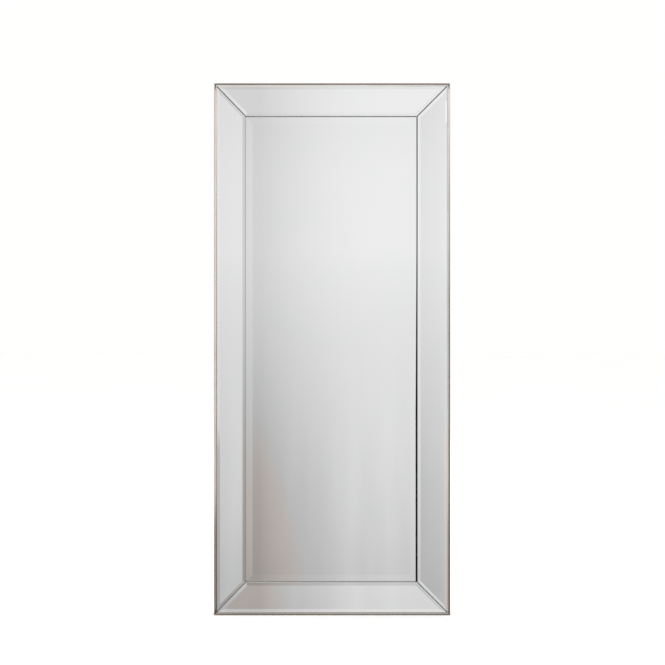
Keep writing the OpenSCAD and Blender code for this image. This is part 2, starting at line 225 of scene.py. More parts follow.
# Tones of its sides. A part's start holds where it begins and is full, and its edges hold both
# sides and how soft they are. They are in degrees from straight ahead, and positive to the right.
PALE_START = (-33, -37)
PALE_BY_HEIGHT = (-0.2, -0.6, 0.78, 0.9)
FAR_LEFT_START = (-68, -72)
FAR_LEFT_TONE = 0.13
LIGHT_STRIP_START = (21, 23)
LIGHT_STRIP_BY_HEIGHT = (-0.5, -0.72, 1.0, 0.72)
POST_EDGES = (21.8, 24.1, 0.1)
RIGHT_START = (27.5, 30)
RIGHT_BY_HEIGHT = (-0.7, 1.4)
RIGHT_LEAST = 0.05
RIGHT_SPAN = 0.8
DIM_EDGES = (38, 52, 4)
DIM_LEAST = 0.35
SIDE_EDGES = (84, 98, 2)
SIDE_TONE = 0.55
TOP_BY_HEIGHT = (1.9, 2.0)
TOP_TONE = 0.55
BASE_BY_HEIGHT = (-1.95, -2.05)
BASE_TONE = 1.0

# The dark bands above and below, as heights on the mirror that show them. The lower one fades
# out again. The tones are those of the lower and the upper one. They end at a place across on the
# left, and at an angle in degrees on the right.
BAND_START = 0.758
BAND_FULL = 0.762
BAND_FADE = 0.783
BAND_END = 0.797
BAND_TONES = (0.1, 0.02)
BAND_LEFT_ACROSS = (-0.41, -0.40)
BAND_RIGHT_ANGLE = (23.4, 23.1)

# A small lamp on the wall, which lights up in one corner of the frame
LAMP_X = -0.4385
LAMP_Z = 1.385
LAMP_HALF_X = 0.0065
LAMP_HALF_Z = 0.055
LAMP_SOFT_X = 0.003
LAMP_SOFT_Z = 0.015
LAMP_TONE = 1.0

# The warmth lies below a curve that drops away to the right: where it starts to drop, and how
# fast
WARM_LEFT = -0.2
WARM_DROP = 8.0
WARM_BY_HEIGHT = (-0.35, -0.75)
WARM_ACROSS = (-0.7, -0.55)
WARM = (1.08, 0.985, 0.94)
NEUTRAL = (1.0, 1.0, 1.0)

# Large square lamps that the mirror doesn't show: name, place, aim, size and power
LAMPS = (
    ("key_lamp", (-2.4, -2.6, 2.4), (0.0, 0.0, 0.0), 2.2, 60.0),
    ("fill_lamp", (2.6, -2.0, 1.2), (0.0, 0.0, 0.0), 2.0, 25.0),
    ("back_lamp", (2.0, 2.6, 2.2), (0.0, 0.0, 0.1), 1.6, 45.0),
)

# The world beyond: ramps by how far up a direction points
WORLD_TINT = (1.0, 0.998, 0.993)
WORLD_LIGHT = (-0.5, 0.8, 0.72, 1.0)
WORLD_GLOSSY_ABOVE = (0.0, 0.8, 0.42, 0.5)
WORLD_GLOSSY_BELOW = (0.0, -0.6, 1.0, 0.7)

# The camera looks straight along +Y, a little to the left of the mirror's middle. The middle of
# its view meets the mirror's front just right of the mirror's own middle.
CAMERA_DISTANCE = 2.4
CAMERA_LEFT = 0.3
CAMERA_UP = 0.049
CAMERA_CLIP_START = 0.05
CAMERA_CLIP_END = 100.0
# How far the mirror's front lies before the middle of its depth
MIRROR_FRONT = 0.019
VIEW_MIDDLE = 0.001
VIEW_WIDTH = 1.941
SENSOR_WIDTH = 36.0

FLOAT = "NodeSocketFloat"
VECTOR = "NodeSocketVector"


# Small helpers for node trees


def feed(tree, socket, value):
    """Links a socket to another one, or sets it to a plain value. Colours have three parts."""
    if isinstance(value, bpy.types.NodeSocket):
        tree.links.new(value, socket)
    elif socket.type == "RGBA":
        socket.default_value = (*value, 1.0)
    else:
        socket.default_value = value


def add(tree, kind, inputs=None, **settings):
    """Adds a node with its settings, and feeds its inputs by name or place."""
    made = tree.nodes.new(kind)
    for name, value in settings.items():
        setattr(made, name, value)
    for name, value in (inputs or {}).items():
        feed(tree, made.inputs[name], value)
    return made


def calc(tree, operation, *values, clamp=False):
    """A Math node's result."""
    inputs = dict(enumerate(values))
    return add(tree, "ShaderNodeMath", inputs, operation=operation, use_clamp=clamp).outputs[0]


def plus(tree, value, extra, share):
    """A value with a share of another one added."""
    return calc(tree, "ADD", value, calc(tree, "MULTIPLY", extra, share))


def vector_calc(tree, operation, a, b=None, scale=None):
    """A Vector Math node's vector."""
    inputs = {0: a}
    if b is not None:
        inputs[1] = b
    if scale is not None:
        inputs["Scale"] = scale
    return add(tree, "ShaderNodeVectorMath", inputs, operation=operation).outputs["Vector"]


def dot(tree, a, b):
    made = add(tree, "ShaderNodeVectorMath", {0: a, 1: b}, operation="DOT_PRODUCT")
    return made.outputs["Value"]


def split(tree, vector):
    """The X, Y and Z of a vector."""
    return add(tree, "ShaderNodeSeparateXYZ", {0: vector}).outputs


def between(tree, value, low, high, to_low=0.0, to_high=1.0, smooth=True):
    """Maps a value from one range to another, held at both ends."""
    inputs = {"Value": value, 1: low, 2: high, 3: to_low, 4: to_high}
    kind = "SMOOTHSTEP" if smooth else "LINEAR"
    made = add(tree, "ShaderNodeMapRange", inputs, interpolation_type=kind, clamp=True)
    return made.outputs["Result"]


def window(tree, value, low, high, soft):
    """1 between low and high, 0 outside, with edges so soft."""
    rise = between(tree, value, low - soft, low)
    fall = between(tree, value, high + soft, high)
    return calc(tree, "MULTIPLY", rise, fall)


def angle_between(tree, turn, low, high):
    """As between, for an angle in degrees."""
    return between(tree, turn, math.radians(low), math.radians(high))


def angle_window(tree, turn, low, high, soft):
    """As window, for an angle in degrees."""
    return window(tree, turn, math.radians(low), math.radians(high), math.radians(soft))


def mix_value(tree, share, a, b):
    made = add(tree, "ShaderNodeMix", {0: share, 2: a, 3: b}, data_type="FLOAT")
    return made.outputs[0]


def mix_vector(tree, share, a, b):
    made = add(tree, "ShaderNodeMix", {0: share, 4: a, 5: b}, data_type="VECTOR")
    return made.outputs[1]


def mix_colour(tree, share, a, b, blend="MIX"):
    inputs = {0: share, 6: a, 7: b}
    made = add(tree, "ShaderNodeMix", inputs, data_type="RGBA", blend_type=blend)
    return made.outputs[2]


def wash(tree, tint, over, mask, share):
    """A tint with a share of another colour over it where a mask lets it."""
    return mix_colour(tree, calc(tree, "MULTIPLY", mask, share), tint, over)


def noise(tree, place, scale, detail=3.0, roughness=0.5, distortion=0.0):
    inputs = {
        "Vector": place,
        "Scale": scale,
        "Detail": detail,
        "Roughness": roughness,
        "Distortion": distortion,
    }
    return add(tree, "ShaderNodeTexNoise", inputs).outputs["Fac"]


def piece_place(tree):
    """The place on a piece in metres, which stays with the piece when it moves."""
    return add(tree, "ShaderNodeTexCoord").outputs["Object"]


def toned(tint, tone):
    """A plain colour made lighter or darker."""
    return tuple(part * tone for part in tint)


def start_group(name, inputs, outputs):
    """A new node group with these sockets. Returns its tree, its inputs and its output node."""
    tree = bpy.data.node_groups.new(name, "ShaderNodeTree")
    for socket_name, kind, value in inputs:
        socket = tree.interface.new_socket(socket_name, in_out="INPUT", socket_type=kind)
        socket.default_value = value
    for socket_name, kind in outputs:
        tree.interface.new_socket(socket_name, in_out="OUTPUT", socket_type=kind)
    ins = tree.nodes.new("NodeGroupInput").outputs
    outs = tree.nodes.new("NodeGroupOutput").inputs
    return tree, ins, outs


def place_group(tree, group, **inputs):
    """Places a group in a material. A name's underscores stand for its socket's spaces."""
    made = tree.nodes.new("ShaderNodeGroup")
    made.node_tree = group
    for name, value in inputs.items():
        feed(tree, made.inputs[name.replace("_", " ")], value)
    return made.outputs


# Effects that several materials share


def build_silvered_bevel():
    """The look of glass silvered at its back. A real bevel bends the light the other way from a
    bevelled front surface, so on bevels the normal leans past the pane's own, by turn."""
    tree, ins, outs = start_group(
        "silvered_bevel",
        [("Pane Normal", VECTOR, (0.0, -1.0, 0.0)), ("Turn", FLOAT, 1.0)],
        [("Normal", VECTOR), ("Silver", FLOAT), ("Ground Edge", FLOAT), ("Back Paint", FLOAT)],
    )
    face = add(tree, "ShaderNodeNewGeometry").outputs["True Normal"]
    facing = dot(tree, face, ins["Pane Normal"])
    silver = calc(tree, "GREATER_THAN", facing, PANE_FACING)
    back = calc(tree, "LESS_THAN", facing, -PANE_FACING)
    edge = calc(tree, "SUBTRACT", 1.0, calc(tree, "ADD", silver, back), clamp=True)
    lean = vector_calc(tree, "SUBTRACT", ins["Pane Normal"], face)
    past = vector_calc(tree, "SCALE", lean, scale=ins["Turn"])
    turned = vector_calc(tree, "NORMALIZE", vector_calc(tree, "ADD", ins["Pane Normal"], past))
    feed(tree, outs["Normal"], mix_vector(tree, silver, face, turned))
    feed(tree, outs["Silver"], silver)
    feed(tree, outs["Ground Edge"], edge)
    feed(tree, outs["Back Paint"], back)
    return tree


def build_edge_line():
    """Finds sharp edges within a width, broken up so that it wears unevenly."""
    tree, ins, outs = start_group(
        "edge_line",
        [
            ("Place", VECTOR, (0.0, 0.0, 0.0)),
            ("Width", FLOAT, 0.001),
            ("Unevenness", FLOAT, 0.5),
            ("Patch Scale", FLOAT, 60.0),
        ],
        [("Edge", FLOAT), ("Rounded Normal", VECTOR)],
    )
    face = add(tree, "ShaderNodeNewGeometry").outputs["Normal"]
    bevel = add(tree, "ShaderNodeBevel", {"Radius": ins["Width"]}, samples=EDGE_SAMPLES)
    rounded = bevel.outputs["Normal"]
    turn = calc(tree, "SUBTRACT", 1.0, dot(tree, face, rounded))
    line = between(tree, turn, *EDGE_RAMP)
    patches = noise(tree, ins["Place"], ins["Patch Scale"], detail=4.0)
    patches = between(tree, patches, *WEAR_RAMP)
    kept = mix_value(tree, ins["Unevenness"], 1.0, patches)
    feed(tree, outs["Edge"], calc(tree, "MULTIPLY", line, kept))
    feed(tree, outs["Rounded Normal"], rounded)
    return tree


def build_drawn_lines():
    """Fine lines along one direction, as from drawing, brushing or growth."""
    tree, ins, outs = start_group(
        "drawn_lines",
        [
            ("Place", VECTOR, (0.0, 0.0, 0.0)),
            ("Stretch", VECTOR, (1.0, 1.0, 1.0)),
            ("Scale", FLOAT, 1.0),
        ],
        [("Fine", FLOAT), ("Coarse", FLOAT)],
    )
    stretched = vector_calc(tree, "MULTIPLY", ins["Place"], ins["Stretch"])
    fine = noise(tree, stretched, ins["Scale"], detail=4.0, roughness=0.6)
    coarse_scale = calc(tree, "MULTIPLY", ins["Scale"], COARSE_SCALE_SHARE)
    coarse = noise(tree, stretched, coarse_scale, distortion=0.4)
    feed(tree, outs["Fine"], between(tree, fine, *FINE_RAMP))
    feed(tree, outs["Coarse"], between(tree, coarse, *COARSE_RAMP))
    return tree


def build_mottle():
    """Soft patches at two sizes, for colour and gloss that are never quite even."""
    tree, ins, outs = start_group(
        "mottle",
        [("Place", VECTOR, (0.0, 0.0, 0.0)), ("Scale", FLOAT, 10.0), ("Grain Scale", FLOAT, 200.0)],
        [("Patches", FLOAT), ("Grain", FLOAT)],
    )
    patches = noise(tree, ins["Place"], ins["Scale"], detail=4.0, roughness=0.55)
    grain = noise(tree, ins["Place"], ins["Grain Scale"], detail=2.0, roughness=0.6)
    feed(tree, outs["Patches"], between(tree, patches, *PATCH_RAMP))
    feed(tree, outs["Grain"], between(tree, grain, *GRAIN_RAMP))
    return tree


def build_dust():
    """Dust that settles on what faces up, thin and uneven."""
    tree, ins, outs = start_group(
        "dust",
        [("Place", VECTOR, (0.0, 0.0, 0.0)), ("Amount", FLOAT, 0.3), ("Scale", FLOAT, 90.0)],
        [("Dust", FLOAT)],
    )
    normal = add(tree, "ShaderNodeNewGeometry").outputs["Normal"]
    level = between(tree, split(tree, normal)["Z"], *DUST_BY_TILT)
    specks = noise(tree, ins["Place"], ins["Scale"], detail=6.0, roughness=0.7)
    specks = between(tree, specks, *DUST_SPECK_RAMP)
    amount = calc(tree, "MULTIPLY", ins["Amount"], level)
    feed(tree, outs["Dust"], calc(tree, "MULTIPLY", amount, specks))
    return tree


silvered_bevel = build_silvered_bevel()
edge_line = build_edge_line()
drawn_lines = build_drawn_lines()
mottle = build_mottle()
dust = build_dust()


# Materials


def start_material(name, view, metallic=0.0):
    """A new material, with this colour in plain views and an empty tree. Returns it, its tree and
    its Principled shader."""
    made = bpy.data.materials.new(name)
    made.use_nodes = True
    made.diffuse_color = (*view, 1.0)
    tree = made.node_tree
    tree.nodes.clear()
    shader = add(tree, "ShaderNodeBsdfPrincipled")
    shader.inputs["Metallic"].default_value = metallic
    output = add(tree, "ShaderNodeOutputMaterial")
    tree.links.new(shader.outputs["BSDF"], output.inputs["Surface"])
    return made, tree, shader


def set_surface(tree, shader, tint, rough, normal=None):
    """Feeds what every finish has."""
    feed(tree, shader.inputs["Base Color"], tint)
    feed(tree, shader.inputs["Roughness"], rough)
    if normal is not None:
        feed(tree, shader.inputs["Normal"], normal)


def bump(tree, height, distance, strength, normal=None):
    """The normal of a surface with small heights on it, this far from low to high."""
    inputs = {"Height": height, "Strength": strength, "Distance": distance}
    if normal is not None:
        inputs["Normal"] = normal
    return add(tree, "ShaderNodeBump", inputs).outputs["Normal"]


def painted_joint_shade(tree, place, grain, edge_x):
    """Where the silver is painted black beside a joint at edge_x, wider low down. This is painted
    shade, standing in for the dark reflection along that joint.
    """
    parts = split(tree, place)
    reach = between(tree, parts["Z"], BLACK_TOP, BLACK_FULL, 0.0, BLACK_WIDTH, smooth=False)
    reach = calc(tree, "MULTIPLY", reach, mix_value(tree, grain, *BLACK_WANDER))
    inside = calc(tree, "SUBTRACT", calc(tree, "ADD", parts["X"], reach), edge_x)
    return between(tree, inside, 0.0, BLACK_SOFT)


def mirror_glass(name, normal, turn, tones, shade_joint_x=None):
    """Silvered glass: mirror in front, ground edges, grey paint behind. Beside the given joint
    place its silver is painted black as painted shade, and the pane's tones darken its silver and
    ground edges, also as painted shade."""
    made, tree, shader = start_material(name, view=(0.85, 0.88, 0.88))
    place = piece_place(tree)
    faces = place_group(tree, silvered_bevel, Pane_Normal=normal, Turn=turn)
    marks = place_group(tree, mottle, Place=place, Scale=7.0, Grain_Scale=900.0)
    settled = place_group(tree, dust, Place=place, Amount=0.05, Scale=700.0)

    # The tones are painted shade: they darken this pane's silver and its ground edges
    silver_shade_tone, edge_shade_tone = tones
    silver_dark = toned(SILVER_DARK, silver_shade_tone)
    silver_light = toned(SILVER_LIGHT, silver_shade_tone)
    silver = mix_colour(tree, marks["Patches"], silver_dark, silver_light)
    silver = mix_colour(tree, settled["Dust"], silver, PANE_DUST)
    if shade_joint_x is not None:
        black = painted_joint_shade(tree, place, marks["Grain"], shade_joint_x)
        silver = mix_colour(tree, black, silver, PAINTED_SHADE_BLACK)
    ground_dark = toned(GROUND_DARK, edge_shade_tone)
    ground_light = toned(GROUND_LIGHT, edge_shade_tone)
    ground = mix_colour(tree, marks["Grain"], ground_dark, ground_light)
    paint = mix_colour(tree, marks["Patches"], BACK_PAINT_DARK, BACK_PAINT_LIGHT)
    tint = mix_colour(tree, faces["Ground Edge"], silver, ground)
    tint = mix_colour(tree, faces["Back Paint"], tint, paint)
    feed(tree, shader.inputs["Metallic"], faces["Silver"])
    haze = mix_value(tree, marks["Patches"], *SILVER_ROUGH)
    haze = plus(tree, haze, settled["Dust"], PANE_DUST_ROUGH)
    dull = mix_value(tree, marks["Grain"], *GROUND_ROUGH)
    rough = mix_value(tree, faces["Silver"], dull, haze)
    set_surface(tree, shader, tint, rough, faces["Normal"])
    return made


def silver_leaf(name, stretch, tarnish_and_shade):
    """Warm silver leaf, burnished along the moulding, worn to its brown clay at the edges, and
    painted darker near the floor, as painted shade standing in for dark reflections."""
    made, tree, shader = start_material(name, view=(0.62, 0.57, 0.52))
    place = piece_place(tree)
    lines = place_group(tree, drawn_lines, Place=place, Stretch=stretch, Scale=900.0)
    patches = place_group(tree, mottle, Place=place, Scale=16.0, Grain_Scale=700.0)
    worn = place_group(
        tree, edge_line, Place=place, Width=0.3 * MM, Unevenness=0.75, Patch_Scale=38.0
    )
    settled = place_group(tree, dust, Place=place, Amount=0.1, Scale=260.0)

    leaf = mix_colour(tree, patches["Patches"], LEAF_DARK, LEAF_LIGHT)
    leaf = wash(tree, leaf, LEAF_LINES, lines["Fine"], LEAF_LINE_SHARE)
    up = split(tree, place)["Z"]
    # Painted shade: the leaf is darkened low down, by a share that differs from side to side
    dull = between(tree, up, LOW_SHADE_TOP, LOW_SHADE_FULL, 0.0, tarnish_and_shade)
    wander = mix_value(tree, patches["Patches"], *LOW_SHADE_WANDER)
    leaf = mix_colour(tree, calc(tree, "MULTIPLY", dull, wander), leaf, LOW_SHADE_TINT)
    clay = mix_colour(tree, patches["Grain"], CLAY_DARK, CLAY_LIGHT)
    wear = calc(tree, "MULTIPLY", worn["Edge"], CLAY_SHARE)
    tint = mix_colour(tree, wear, leaf, clay)
    tint = mix_colour(tree, settled["Dust"], tint, LEAF_DUST)
    bare = calc(tree, "ADD", wear, settled["Dust"], clamp=True)
    metallic = mix_value(tree, bare, LEAF_METALLIC, BARE_METALLIC)
    feed(tree, shader.inputs["Metallic"], metallic)
    gloss = mix_value(tree, lines["Coarse"], *LEAF_ROUGH)
    gloss = plus(tree, gloss, patches["Grain"], LEAF_GRAIN_ROUGH)
    rough = mix_value(tree, bare, gloss, BARE_ROUGH)
    height = plus(tree, lines["Fine"], patches["Grain"], share=0.6)
    normal = bump(tree, height, LEAF_DEPTH, strength=0.2, normal=worn["Rounded Normal"])
    set_surface(tree, shader, tint, rough, normal)
    return made


def pine(name, stretch, knot_stretch, paint):
    """Planed pine at the back and inside, with paint on the slope under the strips."""
    made, tree, shader = start_material(name, view=(0.62, 0.45, 0.28))
    place = piece_place(tree)
    fibres = place_group(tree, drawn_lines, Place=place, Stretch=stretch, Scale=420.0)
    patches = place_group(tree, mottle, Place=place, Scale=9.0, Grain_Scale=1100.0)
    worn = place_group(
        tree, edge_line, Place=place, Width=0.9 * MM, Unevenness=0.5, Patch_Scale=50.0
    )
    settled = place_group(tree, dust, Place=place, Amount=0.3, Scale=240.0)

    # Growth rings run along the board and swerve a little. Knots lie among them.
    stretched = vector_calc(tree, "MULTIPLY", place, stretch)
    rings = add(
        tree,
        "ShaderNodeTexNoise",
        {"Vector": stretched, "Scale": 26.0, "Detail": 1.5, "Distortion": 0.35},
    ).outputs["Fac"]
    rings = calc(tree, "FRACT", calc(tree, "MULTIPLY", rings, RING_COUNT))
    late_wood = between(tree, rings, *RING_RAMP)
    knot_place = vector_calc(tree, "MULTIPLY", place, knot_stretch)
    knots = {"Vector": knot_place, "Scale": 5.0, "Randomness": 1.0}
    knots = add(tree, "ShaderNodeTexVoronoi", knots).outputs["Distance"]
    knot = between(tree, knots, *KNOT_RAMP)

    wood = mix_colour(tree, late_wood, EARLY_WOOD, LATE_WOOD)
    wood = wash(tree, wood, WOOD_FIBRES, fibres["Fine"], share=0.35)
    wood = wash(tree, wood, WOOD_PATCHES, patches["Patches"], share=0.25)
    wood = mix_colour(tree, knot, wood, WOOD_KNOTS)
    wood = wash(tree, wood, WOOD_EDGES, worn["Edge"], share=0.5)
    coat = mix_colour(tree, patches["Grain"], *paint)
    front = split(tree, place)["Y"]
    wander = calc(tree, "SUBTRACT", patches["Grain"], 0.5)
    front = plus(tree, front, wander, PAINT_WANDER)
    painted = between(tree, front, PAINT_TO_Y, PAINT_TO_Y - PAINT_SOFT)
    tint = mix_colour(tree, painted, wood, coat)
    tint = mix_colour(tree, settled["Dust"], tint, WOOD_DUST)
    rough = mix_value(tree, late_wood, *WOOD_ROUGH)
    rough = plus(tree, rough, fibres["Fine"], LINE_ROUGH)
    height = plus(tree, fibres["Fine"], late_wood, share=0.8)
    height = calc(tree, "SUBTRACT", height, knot)
    normal = bump(tree, height, WOOD_DEPTH, strength=0.35, normal=worn["Rounded Normal"])
    set_surface(tree, shader, tint, rough, normal)
    return made


def plated_steel(name, tones, gloss, stretch, stain=None):
    """Plated steel sheet or wire, with lines from rolling, soft tarnish and lighter rubbed
    edges."""
    dark, light = tones
    made, tree, shader = start_material(name, view=light, metallic=1.0)
    place = piece_place(tree)
    lines = place_group(tree, drawn_lines, Place=place, Stretch=stretch, Scale=1600.0)
    tarnish_and_shade = place_group(tree, mottle, Place=place, Scale=120.0, Grain_Scale=2600.0)
    rubbed = place_group(
        tree, edge_line, Place=place, Width=0.25 * MM, Unevenness=0.5, Patch_Scale=180.0
    )
    tint = mix_colour(tree, tarnish_and_shade["Patches"], dark, light)
    if stain is not None:
        tint = wash(tree, tint, stain, lines["Coarse"], STEEL_STAIN_SHARE)
    bright = tuple(min(1.0, part) for part in toned(light, RUBBED_LIGHTER))
    tint = mix_colour(tree, rubbed["Edge"], tint, bright)
    rough = mix_value(tree, tarnish_and_shade["Patches"], gloss + STEEL_TARNISH_ROUGH, gloss)
    rough = plus(tree, rough, lines["Fine"], LINE_ROUGH)
    rough = mix_value(tree, rubbed["Edge"], rough, gloss)
    height = plus(tree, lines["Fine"], tarnish_and_shade["Grain"], share=0.5)
    normal = bump(tree, height, STEEL_DEPTH, strength=0.2, normal=rubbed["Rounded Normal"])
    set_surface(tree, shader, tint, rough, normal)
    return made


def hardboard():
    """Brown fibreboard, with the wire-mesh print of its rough side."""
    made, tree, shader = start_material("hardboard", view=(0.30, 0.18, 0.10))
    place = piece_place(tree)
    patches = place_group(tree, mottle, Place=place, Scale=6.0, Grain_Scale=520.0)
    settled = place_group(tree, dust, Place=place, Amount=0.35, Scale=180.0)
    fibre_place = vector_calc(tree, "MULTIPLY", place, BOARD_FIBRE_STRETCH)
    fibres = noise(tree, fibre_place, scale=900.0, roughness=0.65, distortion=1.2)
    fibres = between(tree, fibres, *BOARD_FIBRE_RAMP)
    parts = split(tree, place)
    wires = []
    for direction in ("X", "Z"):
        turn = calc(tree, "MULTIPLY", parts[direction], 2 * math.pi / MESH_PITCH)
        wires.append(calc(tree, "SINE", turn))
    print_height = calc(tree, "MULTIPLY", wires[0], wires[1])
    weave = between(tree, print_height, *MESH_RAMP)
    tint = mix_colour(tree, fibres, BOARD_DARK, BOARD_LIGHT)
    tint = wash(tree, tint, BOARD_PATCHES, patches["Patches"], share=0.35)
    tint = wash(tree, tint, BOARD_WEAVE, weave, share=0.22)
    tint = mix_colour(tree, settled["Dust"], tint, BOARD_DUST)
    rough = mix_value(tree, patches["Grain"], *BOARD_ROUGH)
    height = plus(tree, fibres, weave, WEAVE_HEIGHT_SHARE)
    set_surface(tree, shader, tint, rough, bump(tree, height, BOARD_DEPTH, strength=0.5))
    return made


def grey_card():
    """Dull card with dark flecks in it."""
    made, tree, shader = start_material("grey_card", view=(0.48, 0.46, 0.43))
    place = piece_place(tree)
    patches = place_group(tree, mottle, Place=place, Scale=12.0, Grain_Scale=1500.0)
    specks = noise(tree, place, scale=2600.0, detail=1.0)
    specks = between(tree, specks, *CARD_SPECK_RAMP)
    tint = mix_colour(tree, patches["Grain"], CARD_DARK, CARD_LIGHT)
    tint = wash(tree, tint, CARD_SPECKS, specks, share=0.5)
    rough = mix_value(tree, patches["Patches"], *CARD_ROUGH)
    normal = bump(tree, patches["Grain"], CARD_DEPTH, strength=0.3)
    set_surface(tree, shader, tint, rough, normal)
    return made


def foam_tape():
    """Closed-cell foam with small pores on its cut sides."""
    made, tree, shader = start_material("foam_tape", view=(0.045, 0.045, 0.05))
    place = piece_place(tree)
    patches = place_group(tree, mottle, Place=place, Scale=25.0, Grain_Scale=1800.0)
    pores = add(tree, "ShaderNodeTexVoronoi", {"Vector": place, "Scale": 2600.0})
    pore = between(tree, pores.outputs["Distance"], *FOAM_PORE_RAMP)
    tint = mix_colour(tree, patches["Grain"], FOAM_DARK, FOAM_LIGHT)
    tint = mix_colour(tree, pore, tint, FOAM_PORES)
    rough = mix_value(tree, patches["Patches"], *FOAM_ROUGH)
    height = calc(tree, "SUBTRACT", patches["Grain"], pore)
    set_surface(tree, shader, tint, rough, bump(tree, height, FOAM_DEPTH, strength=0.4))
    return made


def black_rubber():
    """Moulded rubber, dull with a little bloom and dust."""
    made, tree, shader = start_material("black_rubber", view=(0.03, 0.03, 0.03))
    place = piece_place(tree)
    bloom = place_group(tree, mottle, Place=place, Scale=260.0, Grain_Scale=3600.0)
    worn = place_group(
        tree, edge_line, Place=place, Width=0.4 * MM, Unevenness=0.6, Patch_Scale=400.0
    )
    settled = place_group(tree, dust, Place=place, Amount=0.3, Scale=900.0)
    tint = mix_colour(tree, bloom["Patches"], RUBBER_DARK, RUBBER_LIGHT)
    tint = wash(tree, tint, RUBBER_EDGES, worn["Edge"], share=0.5)
    tint = mix_colour(tree, settled["Dust"], tint, RUBBER_DUST)
    rough = mix_value(tree, bloom["Grain"], *RUBBER_ROUGH)
    normal = bump(tree, bloom["Grain"], RUBBER_DEPTH, strength=0.3)
    set_surface(tree, shader, tint, rough, normal)
    return made


def pane_normal(node):
    """The direction that a pane's main front face looks in."""
    front_faces = [face for face in node.data.polygons if face.normal.y < 0]
    return max(front_faces, key=lambda face: face.area).normal.copy()


def dress(node_name, material):
    """Gives a CAD node its finished material."""
    for material_slot in NODES[node_name].material_slots:
        material_slot.material = material


def dress_panes():
    for node_name, tones in PANE_SHADE_TONES.items():
        centre = node_name == "centre_pane"
        turn = CENTRE_TURN if centre else STRIP_TURN
        # The centre pane's silver is painted black beside its right joint, as painted shade
        shade_joint_x = cad_box[1].x - JOINT_FROM_SIDE if centre else None
        normal = pane_normal(NODES[node_name])
        dress(node_name, mirror_glass("mirror_" + node_name, normal, turn, tones, shade_joint_x))


def dress_frame():
    # Each side's leaf gets its own share of painted shade low down
    leaf_level = silver_leaf("silver_leaf_level", ALONG_X, LOW_SHADE_LEVEL)
    leaf_upright = {
        "left": silver_leaf("silver_leaf_left", ALONG_Z, LOW_SHADE_LEFT),
        "right": silver_leaf("silver_leaf_right", ALONG_Z, LOW_SHADE_RIGHT),
    }
    # Level rails get the lighter paint and upright rails the darker, as painted shade at the joints
    pine_level = pine("pine_level", ALONG_X, KNOTS_ALONG_X, LIT_GREY_PAINT)
    pine_upright = pine("pine_upright", ALONG_Z, KNOTS_ALONG_Z, SHADED_BLACK_PAINT)
    foam = foam_tape()
    for side in ("bottom", "top"):
        dress("moulding_" + side, leaf_level)
        dress("rail_" + side, pine_level)
        dress("tape_" + side, foam)
    for side in ("left", "right"):
        dress("moulding_" + side, leaf_upright[side])
        dress("rail_" + side, pine_upright)
        dress("tape_" + side, foam)


def dress_back():
    dress("buffer_sheet", grey_card())
    dress("back_board", hardboard())
    plain = plated_steel("plain_steel", PLAIN_STEEL, PLAIN_ROUGH, ALONG_Z, PLAIN_STAIN)
    zinc = plated_steel("zinc_plate", ZINC, ZINC_ROUGH, ALONG_X, ZINC_STAIN)
    nickel = plated_steel("nickel_plate", NICKEL, NICKEL_ROUGH, ALONG_X)
    rubber = black_rubber()
    for node_name in ("framers_points", "moulding_brads"):
        dress(node_name, plain)
    for node_name in ("corner_screws", "hanger_screws"):
        dress(node_name, zinc)
    for height in ("bottom", "top"):
        for side in ("left", "right"):
            dress(f"corner_plate_{height}_{side}", zinc)
            dress(f"bumper_{height}_{side}", rubber)
    for side in ("left", "right"):
        dress("hanger_strap_" + side, nickel)
        dress("hanger_ring_" + side, nickel)


# The stage


def mesh_object(name, build):
    """An object whose mesh the function build makes in a bmesh."""
    mesh = bpy.data.meshes.new(name)
    shape = bmesh.new()
    build(shape)
    bmesh.ops.recalc_face_normals(shape, faces=shape.faces)
    shape.to_mesh(mesh)
    shape.free()
    made = bpy.data.objects.new(name, mesh)
    bpy.context.scene.collection.objects.link(made)
    return made


def floor_material():
    made, tree, shader = start_material("pale_floor", view=(0.93, 0.93, 0.92))
    place = piece_place(tree)
    patches = place_group(tree, mottle, Place=place, Scale=0.9, Grain_Scale=60.0)
    tint = mix_colour(tree, patches["Patches"], FLOOR_DARK, FLOOR_LIGHT)
    rough = mix_value(tree, patches["Grain"], *FLOOR_ROUGH)
    set_surface(tree, shader, tint, rough)
    feed(tree, shader.inputs["Emission Color"], tint)
    shader.inputs["Emission Strength"].default_value = FLOOR_GLOW
    return made


def make_floor(level):
    """The floor at this height. The mirror doesn't show it."""
    reach = FLOOR_HALF_WIDTH

    def build(shape):
        corners = [(-reach, -reach), (reach, -reach), (reach, reach), (-reach, reach)]
        shape.faces.new([shape.verts.new((x, y, level)) for x, y in corners])

    floor = mesh_object("floor", build)
    floor.data.materials.append(floor_material())
    floor.visible_glossy = False


def wall_profile():
    """Radius and height up the curved wall, from the middle of its base to that of its top."""
    points = [(WALL_INNER_RADIUS, WALL_LOW)]
    turns = [math.pi / 2 * step / ROUNDING_STEPS for step in range(ROUNDING_STEPS + 1)]
    for turn in turns:
        points.append((
            WALL_RADIUS - WALL_ROUNDING * (1 - math.sin(turn)),
            WALL_LOW + WALL_ROUNDING * (1 - math.cos(turn)),
        ))
    for turn in turns:
        points.append((
            WALL_RADIUS - WALL_ROUNDING * (1 - math.cos(turn)),
            WALL_HIGH - WALL_ROUNDING * (1 - math.sin(turn)),
        ))
    points.append((WALL_INNER_RADIUS, WALL_HIGH))
    return points


def cloth_folds(tree, across, height):
    """Soft light and dark upright bands, as of hanging cloth."""
    squeezed = calc(tree, "MULTIPLY", height, CLOTH_HEIGHT_SHARE)
    drift = add(tree, "ShaderNodeCombineXYZ", {"X": across, "Z": squeezed}).outputs[0]
    folds = between(tree, noise(tree, drift, CLOTH_SCALE, detail=2.0), *CLOTH_RAMP)
    for middle, half_width, lighter in CLOTH_FOLDS:
        offset = calc(tree, "ABSOLUTE", calc(tree, "SUBTRACT", across, middle))
        fold = between(tree, offset, half_width, 0.0, 0.0, lighter)
        folds = calc(tree, "ADD", folds, fold)
    return folds


